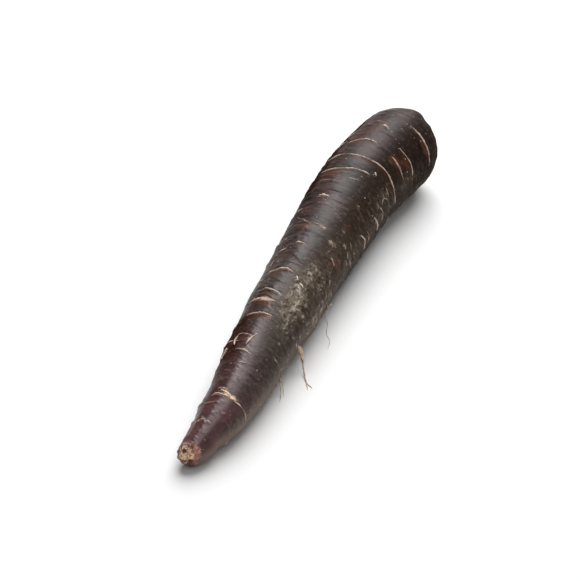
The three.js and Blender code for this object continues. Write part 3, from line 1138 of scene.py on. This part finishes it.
# %% Tree helpers
def new_tree(name, inputs):
    """A Geometry Nodes tree with named inputs, and what comes out of its input node."""
    tree = bpy.data.node_groups.new(name, "GeometryNodeTree")
    tree.interface.new_socket("Geometry", in_out="OUTPUT", socket_type="NodeSocketGeometry")
    tree.interface.new_socket("Geometry", in_out="INPUT", socket_type="NodeSocketGeometry")
    for label, value in inputs.items():
        kind = {int: "Int", float: "Float"}.get(type(value), "Vector")
        tree.interface.new_socket(label, in_out="INPUT", socket_type="NodeSocket" + kind)
    nodes = Nodes(tree)
    return nodes, nodes.add("NodeGroupInput").outputs


def named(nodes, name, kind="FLOAT"):
    """An attribute of the mesh that the tree runs on."""
    return nodes.get("GeometryNodeInputNamedAttribute", {"Name": name}, data_type=kind)


def store(nodes, geometry, name, value, domain="POINT"):
    """The same geometry with one more number of its own."""
    inputs = {"Geometry": geometry, "Name": name, "Value": value}
    return nodes.get("GeometryNodeStoreNamedAttribute", inputs, data_type="FLOAT", domain=domain)


def rested(nodes, geometry):
    """The same geometry with no point below the surface that the root lies on."""
    place = nodes.get("GeometryNodeInputPosition")
    x, y, z = nodes.parts(place)
    raised = nodes.get("ShaderNodeCombineXYZ", {0: x, 1: y, 2: nodes.math("MAXIMUM", z, 0.0)})
    return nodes.get("GeometryNodeSetPosition", {"Geometry": geometry, "Position": raised})


def close_tree(nodes, geometry, material, second=None, where=None):
    """Ends a tree in Realize Instances and Set Material."""
    out = nodes.get("GeometryNodeRealizeInstances", {0: geometry})
    out = nodes.get("GeometryNodeSetMaterial", {0: out, "Material": material})
    if second:
        out = nodes.get("GeometryNodeSetMaterial", {0: out, 1: where, "Material": second})
    nodes.tree.links.new(out, nodes.add("NodeGroupOutput").inputs[0])


def grow(obj, nodes, values):
    """Runs a tree on an object and gives the object the result as a plain mesh."""
    modifier = obj.modifiers.new(nodes.tree.name, "NODES")
    modifier.node_group = nodes.tree
    for label, value in values.items():
        modifier[nodes.tree.interface.items_tree[label].identifier] = value
    bpy.context.view_layer.update()
    evaluated = obj.evaluated_get(bpy.context.evaluated_depsgraph_get())
    mesh = bpy.data.meshes.new_from_object(evaluated)
    obj.modifiers.remove(modifier)
    kept = [material for material in mesh.materials if material]
    slots = [kept.index(mesh.materials[face.material_index]) for face in mesh.polygons]
    mesh.materials.clear()
    for material in kept:
        mesh.materials.append(material)
    mesh.polygons.foreach_set("material_index", slots)
    obj.data = mesh
    mesh.name = obj.name
    mesh.shade_smooth()
    triangles = sum(len(p.vertices) - 2 for p in mesh.polygons)
    print(obj.name, "triangles:", triangles, "materials:", [m.name for m in mesh.materials])


# %% Growth relief tree
RELIEF = {
    "Crease Depth": 0.26,
    "Wrinkle Depth": 0.45,
    "Hoop Depth": 0.60,
    "Swell Depth": 0.45,
    "Pore Depth": 0.32,
}
n, given = new_tree("growth_relief", RELIEF)
way = named(n, "grain", "FLOAT_VECTOR")
from_tip, leftward, _ = n.parts(way)
smoother_crown = n.line(n.step(from_tip, 135.0, 165.0), -0.35, 0.75)
grown = n.plus(n.times(n.step(from_tip, 10.0, 45.0), smoother_crown), 0.25)
off_wound = n.rest(n.times(n.step(named(n, "wound"), -0.5, 0.5), 0.8))
calm = n.times(n.rest(named(n, "bare")), off_wound)
creases = n.contour(n.cloud(way, (5.0, 17, 17), 1.5, 0.5, 0.4), 14.0)
crease_zone = n.step(n.cloud(way, (22, 11, 11), 1.0), 0.40, 0.60)
furrow = n.times(creases, crease_zone, calm)
wrinkles = n.ripple(way, (1.9, 10, 10), 2.0, 0.6)
left_zone = n.times(n.step(leftward, 2.0, 11.0), 0.6)
wrinkle_zone = n.plus(n.step(n.cloud(way, (24, 9, 9), 1.0), 0.38, 0.62), left_zone)
hoops = n.math("ABSOLUTE", n.ripple(way, (6.0, 30, 30), 1.0))
swell = n.ripple(way, (13, 12, 12), 1.0)
pores = n.ripple(way, (1.0, 1.5, 1.5), 2.0)
height = n.times(wrinkles, wrinkle_zone, given["Wrinkle Depth"])
height = n.plus(height, n.times(n.plus(hoops, -0.1), given["Hoop Depth"]))
height = n.plus(height, n.times(pores, given["Pore Depth"]))
swelling = n.times(swell, given["Swell Depth"], n.line(grown, 0.7, 0.3))
height = n.plus(n.times(height, grown), swelling)
height = n.math("SUBTRACT", height, n.times(furrow, given["Crease Depth"]))
height = n.times(n.plus(n.times(height, calm), named(n, "relief")), MM)
outward = n.get("GeometryNodeInputNormal")
# The creases are kept as furrow, where the skin material paints shade into them.
ridged = store(n, given["Geometry"], "furrow", furrow)
inputs = {"Geometry": ridged, "Offset": n.scaled(outward, height)}
moved = n.get("GeometryNodeSetPosition", inputs)
on_cut = n.math("GREATER_THAN", named(n, "bare"), 0.75)
close_tree(n, rested(n, moved), skin_material, flesh_material, on_cut)
grow(skin, n, RELIEF)

# %% [markdown]
# ## Lines of cork
# The pale line that heals a split is a raised thread of cork, less than a millimetre wide
# and broken in places. Painted on, it would blur up close. Here each line is a curve on the
# grown skin with a round bar swept along it, and the bar is sunk so far that only its back
# stands out. Where the bar gets thinner than it is deep, it dives under the skin, so that
# the line breaks by itself. Geometry Nodes sweep all the lines at once.

# %% Points on the grown skin
def on_grid(vectors, label):
    """A vector of each point of the skin, in the rows and columns of the grid."""
    flat = np.empty(len(vectors) * 3)
    vectors.foreach_get(label, flat)
    return flat[:points.size].reshape(points.shape)


def grid_place(s, a):
    """The row and the column, as decimals, of a station and an angle."""
    column = a % 360 / 360 * COLUMNS
    near = int(round(column)) % COLUMNS
    return np.interp(s, station[:rim_row, near], np.arange(rim_row)), column


def between(values, row, column):
    """A value of the grid between its points."""
    i, j = int(row), int(column) % COLUMNS
    k = (j + 1) % COLUMNS
    u, w = row - i, column - int(column)
    near = values[i, j] * (1 - w) + values[i, k] * w
    far = values[i + 1, j] * (1 - w) + values[i + 1, k] * w
    return near * (1 - u) + far * u


ROUTE_STEP = 0.5


def walk(route):
    """Even steps along a route, each as a station, an angle and the part of the way done."""
    lengths = lengths_of([(s, math.radians(a - route[0][1]) * girth_at(s)) for s, a in route])
    walked = 0.0
    for (s0, a0), (s1, a1), length in zip(route, route[1:], lengths):
        steps = max(int(length / ROUTE_STEP), 1)
        for k in range(steps):
            t = k / steps
            yield s0 + (s1 - s0) * t, a0 + (a1 - a0) * t, (walked + t * length) / sum(lengths)
        walked += length
    yield route[-1][0], route[-1][1], 1.0


def wandered(s, a):
    """Where a point of a route lies once the route has wandered like its groove."""
    row, column = grid_place(s, a)
    sideways = math.degrees(between(wander_around, row, column) / between(girth, row, column))
    return grid_place(s - between(wander_along, row, column), a - sideways)


skin_places = on_grid(skin.data.vertices, "co")
skin_normals = on_grid(skin.data.vertex_normals, "vector")
print("points on the grown skin:", skin_places[:, :, 0].size)

# %% Curves for the cork lines
# Each point of a bar holds its place, the way out of the skin, its place in the patterns, its
# radius, how deep it is sunk, and how pale and how orange it is.
BAR_SIZE = 0.85


def chain(first, end):
    """The edges that join the points of one bar."""
    return [(k, k + 1) for k in range(first, end - 1)]


bars, edges = [], []
for kind, route in MARKS:
    look = KINDS[kind]
    if look["proud"] == 0:
        continue
    first = len(bars)
    for s, a, t in walk(list(rounded(route, ROUND_STEPS))):
        row, column = wandered(s, a)
        on_skin = [between(values, row, column) for values in (skin_places, skin_normals, grain)]
        bar = BAR_SIZE * look["half"] * (0.3 + 0.7 * belly(t)) * between(fatness, row, column) * MM
        bars.append((*on_skin, bar, (1 - look["proud"]) * bar, look["pale"], look["warm"]))
    edges += chain(first, len(bars))
places, outward, patterns, reaches, sinks, pale, warm = zip(*bars)
numbers = {"reach": reaches, "sink": sinks, "line": pale, "warm": warm}
mesh = new_mesh("cork_lines", places, edges, [], numbers, {"out": outward, "grain": patterns})
cork_lines = new_object("cork_lines", mesh)
print("points on the cork lines:", len(bars))


# %% Swept bar tree
BAR_SIDES = 8


def sweep(obj, inputs, material):
    """Sweeps a round bar along an object's edges, with a ragged thickness and a waver."""
    n, given = new_tree("swept_" + obj.name, inputs)
    curve = n.get("GeometryNodeMeshToCurve", {"Mesh": given["Geometry"]})
    step = {"Curve": curve, "Length": given["Step Length"]}
    even = n.get("GeometryNodeResampleCurve", step, mode="LENGTH")
    spot = n.get("GeometryNodeInputPosition")
    lump = (1.3 * MM, 1.3 * MM, 1.3 * MM)
    waver = n.vector("SUBTRACT", n.cloud(spot, lump, 2.0, output=1), (0.5, 0.5, 0.5))
    out = named(n, "out", "FLOAT_VECTOR")
    waver = n.vector("SUBTRACT", waver, n.vector("PROJECT", waver, out))
    down = n.scaled(out, n.times(named(n, "sink"), -1.0))
    offset = n.vector("ADD", down, n.scaled(waver, given["Waver"]))
    sunk = n.get("GeometryNodeSetPosition", {"Geometry": even, "Offset": offset})
    uneven = n.times(n.ripple(spot, lump, 3.0, 0.7), given["Raggedness"])
    thickness = n.times(named(n, "reach"), n.plus(uneven, 1.0))
    ring = n.get("GeometryNodeCurvePrimitiveCircle", {"Resolution": BAR_SIDES, "Radius": 1.0})
    swept = {"Curve": sunk, "Profile Curve": ring, "Scale": thickness, "Fill Caps": True}
    close_tree(n, rested(n, n.get("GeometryNodeCurveToMesh", swept)), material)
    grow(obj, n, inputs)


CORK_LINES = {"Step Length": 0.3 * MM, "Waver": 0.16 * MM, "Raggedness": 3.2}
sweep(cork_lines, CORK_LINES, cork_material)

# %% [markdown]
# ## Side roots
# A few thread-like side roots were left on the skin. Each comes out of a small pale nub on
# the flank, hangs down to the surface and lies along it. It is the same kind of thing as a
# line of cork, a bar along a route, so the same function sweeps it, without sinking it.

# %% Side roots
# Each row is a list of places in millimetres and thicknesses: x, y, z and the bar's radius.
SIDE_ROOTS = [
    [
        (-30.2, -12.5, 9.6, 1.3), (-30.9, -14.6, 8.9, 1.25), (-31.8, -15.8, 7.6, 1.0),
        (-32.4, -16.5, 6.0, 0.6), (-33.2, -17.3, 4.2, 0.38), (-34.6, -18.4, 2.1, 0.33),
        (-36.2, -19.7, 0.7, 0.3), (-38.0, -21.1, 0.3, 0.27), (-39.6, -22.3, 0.27, 0.22),
        (-40.8, -23.2, 0.24, 0.16), (-41.8, -23.8, 0.2, 0.08),
    ],
    [
        (-38.6, -21.6, 0.28, 0.2), (-39.5, -22.9, 0.26, 0.18), (-39.9, -24.0, 0.2, 0.14),
        (-40.4, -25.0, 0.2, 0.08),
    ],
    [
        (-46.0, -11.8, 7.4, 0.6), (-46.6, -13.6, 6.2, 0.5), (-47.6, -14.6, 4.2, 0.26),
        (-48.4, -15.2, 2.2, 0.2), (-49.6, -15.9, 0.6, 0.16), (-51.4, -16.6, 0.18, 0.12),
        (-53.0, -16.8, 0.12, 0.06),
    ],
    [
        (-44.4, -12.2, 7.6, 0.4), (-45.0, -13.9, 5.8, 0.28), (-45.6, -14.6, 3.8, 0.18),
        (-46.8, -15.4, 1.6, 0.14), (-48.2, -16.4, 0.2, 0.1), (-50.0, -17.4, 0.1, 0.05),
    ],
    [
        (-6.0, -14.6, 13.4, 0.2), (-8.0, -15.8, 12.0, 0.19), (-10.4, -16.0, 9.4, 0.17),
        (-10.6, -17.2, 6.2, 0.15), (-13.2, -18.0, 3.2, 0.13), (-14.6, -20.2, 1.0, 0.11),
        (-18.0, -21.0, 0.25, 0.07),
    ],
]
ROOT_STEPS = 8
places, reaches, edges = [], [], []
for knots in SIDE_ROOTS:
    first = len(places)
    for x, y, z, radius in rounded(knots, ROOT_STEPS):
        places.append((x * MM, y * MM, max(z, radius) * MM))
        reaches.append(radius * MM)
    edges += chain(first, len(places))
numbers = {"reach": reaches, "sink": np.zeros(len(places))}
mesh = new_mesh("side_roots", places, edges, [], numbers, {"out": np.zeros((len(places), 3))})
side_roots = new_object("side_roots", mesh)
ROOT_BARS = {"Step Length": 0.45 * MM, "Waver": 0.25 * MM, "Raggedness": 0.8}
sweep(side_roots, ROOT_BARS, rootlet_material)

# %% [markdown]
# ## Flecks and grains
# Breathing pores heal as small pale flecks that lie across the root, and dry soil sticks
# to the dusty patches as grains. Both are the same small shape many times over, so
# Geometry Nodes scatter them: points thrown on the skin, thicker where a mask is high, and
# one low-faced shape on each, laid along the skin and turned across the root.


# %% Scatter tree
def drawn(nodes, lowest, highest, seed):
    """A vector drawn at random for each thing, between two limits."""
    limits = {0: lowest, 1: highest, "Seed": seed}
    return nodes.get("FunctionNodeRandomValue", limits, data_type="FLOAT_VECTOR")


def stand(nodes, places, shape, up, side, size):
    """A copy of a shape on each place, turned so that its Z looks up and its X to the side."""
    axes = {0: up, 1: side}
    turned = nodes.get("FunctionNodeAxesToRotation", axes, primary_axis="Z", secondary_axis="X")
    copies = {0: places, "Instance": shape, "Rotation": turned, "Scale": size}
    return nodes.get("GeometryNodeInstanceOnPoints", copies)


TILT = 0.3
LINE_RANGE = (0.2, 1.0)
WARM_RANGE = (0.0, 0.6)


def scatter(name, inputs, material, shape, density):
    """Scatters a small shape over a copy of the skin, flat on it and across the root."""
    n, given = new_tree(name + "_scatter", inputs)
    amount = n.times(density(n), n.rest(named(n, "bare")), given["Density"])
    thrown = {"Mesh": given["Geometry"], "Density": amount, "Seed": given["Seed"]}
    node = n.add("GeometryNodeDistributePointsOnFaces", thrown, distribute_method="RANDOM")
    normal = node.outputs["Normal"]
    across = n.vector("CROSS_PRODUCT", normal, (1.0, 0.0, 0.0))
    side = n.vector("ADD", across, drawn(n, (-TILT,) * 3, (TILT,) * 3, 3))
    size = drawn(n, given["Smallest"], given["Largest"], 5)
    out = stand(n, node.outputs["Points"], shape(n), normal, side, size)
    for label, limits, seed in (("line", LINE_RANGE, 11), ("warm", WARM_RANGE, 12)):
        chance = {2: limits[0], 3: limits[1], "Seed": seed}
        value = n.add("FunctionNodeRandomValue", chance, data_type="FLOAT").outputs[1]
        out = store(n, out, label, value, "INSTANCE")
    close_tree(n, out, material)
    obj = new_object(name, skin.data.copy())
    grow(obj, n, inputs)
    return obj


def lentil(n):
    """The shape of a fleck, before it is flattened."""
    return n.get("GeometryNodeMeshUVSphere", {"Segments": 8, "Rings": 4, "Radius": 1.0})


def grain_shape(n):
    """The shape of a grain of soil."""
    return n.get("GeometryNodeMeshIcoSphere", {"Radius": 1.0, "Subdivisions": 1})


def fleck_density(n):
    """Flecks are thicker on the right flank and where it is dusty."""
    leftward = n.parts(named(n, "grain", "FLOAT_VECTOR"))[1]
    return n.plus(n.step(leftward, 4.0, -8.0), n.times(named(n, "dust"), 1.5), 0.5)


def soil_density(n):
    """Grains stick where it is very dusty, in patches."""
    patchy = n.step(n.cloud(named(n, "grain", "FLOAT_VECTOR"), (1.6, 4, 4), 2.0), 0.42, 0.62)
    return n.times(n.math("POWER", named(n, "dust"), 2.5), patchy)


# %% Scatter flecks and soil
FLECKS = {
    "Density": 12000.0,
    "Smallest": (0.16 * MM, 0.10 * MM, 0.05 * MM),
    "Largest": (0.42 * MM, 0.17 * MM, 0.09 * MM),
    "Seed": 4,
}
SOIL_GRAINS = {
    "Density": 300000.0,
    "Smallest": (0.10 * MM, 0.08 * MM, 0.05 * MM),
    "Largest": (0.34 * MM, 0.24 * MM, 0.12 * MM),
    "Seed": 9,
}
flecks = scatter("cork_flecks", FLECKS, cork_material, lentil, fleck_density)
soil_grains = scatter("soil_grains", SOIL_GRAINS, soil_material, grain_shape, soil_density)

# %% [markdown]
# ## Leaf bases
# Leaves grow out of a crown in a spiral, each turned by the golden angle, about 137.5
# degrees, from the one before. The knife left their feet as low stumps. A Geometry Nodes
# tree sets them out by that rule, so the crown looks grown and not decorated.

# %% Leaf base tree
facing = Vector(skin_normals[-1].mean(axis=0)).normalized()
across = facing.cross(UP).normalized()
upward = across.cross(facing)
LEAF_BASES = {
    "Stumps": 34,
    "Spacing": 1.05 * MM,
    "Smallest": (0.75 * MM, 0.35 * MM, 0.9 * MM),
    "Largest": (1.15 * MM, 0.55 * MM, 1.9 * MM),
    "Lean": 60.0,
    "Centre": tuple(Vector(skin_places[-1].mean(axis=0)) - facing * 0.5 * MM),
    "Across": tuple(across),
    "Upward": tuple(upward),
    "Facing": tuple(facing),
}
GOLDEN_ANGLE = math.radians(137.5)
n, given = new_tree("leaf_base_spiral", LEAF_BASES)
number = n.get("GeometryNodeInputIndex")
angle = n.times(number, GOLDEN_ANGLE)
radius = n.times(n.math("SQRT", n.plus(number, 0.6)), given["Spacing"])
right = n.scaled(given["Across"], n.math("COSINE", angle))
above = n.scaled(given["Upward"], n.math("SINE", angle))
outward = n.vector("ADD", right, above)
place = n.vector("ADD", given["Centre"], n.scaled(outward, radius))
stems = n.get("GeometryNodePoints", {"Count": given["Stumps"], "Position": place})
lean = n.vector("ADD", given["Facing"], n.scaled(outward, n.times(radius, given["Lean"])))
side = n.vector("CROSS_PRODUCT", given["Facing"], outward)
size = drawn(n, given["Smallest"], given["Largest"], 2)
stump = {"Vertices": 10, "Side Segments": 2, "Radius Top": 0.8, "Radius Bottom": 1.0, "Depth": 1.0}
stump = n.get("GeometryNodeMeshCone", stump)
close_tree(n, stand(n, stems, stump, lean, side, size), leaf_material)
leaf_bases = new_object("leaf_bases", bpy.data.meshes.new("leaf_bases"))
grow(leaf_bases, n, LEAF_BASES)

# %% [markdown]
# ## Who belongs to what
# Every piece rides on the root's one body. The skin stands for the solid, and the small
# pieces only add to it.

# %% Ride and replace
for piece in (skin, cork_lines, side_roots, flecks, soil_grains, leaf_bases):
    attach(piece, "root")
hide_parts("carrot")

# %% Floor
FLOOR_HALF = 4.0
FLOOR_WHITE = (0.9, 0.9, 0.9, 1.0)
FLOOR_ROUGHNESS = 0.9
FLOOR_DROP = 0.02 * MM
SQUARE = ((-1, -1), (1, -1), (1, 1), (-1, 1))
corner = [(x * FLOOR_HALF, y * FLOOR_HALF, -FLOOR_DROP) for x, y in SQUARE]
floor = new_object("floor", new_mesh("floor", corner, [], [(0, 1, 2, 3)], {}, {}))
paper, n = shader("white_paper")
finish(n, {"Base Color": FLOOR_WHITE, "Roughness": FLOOR_ROUGHNESS})
floor.data.materials.append(paper)
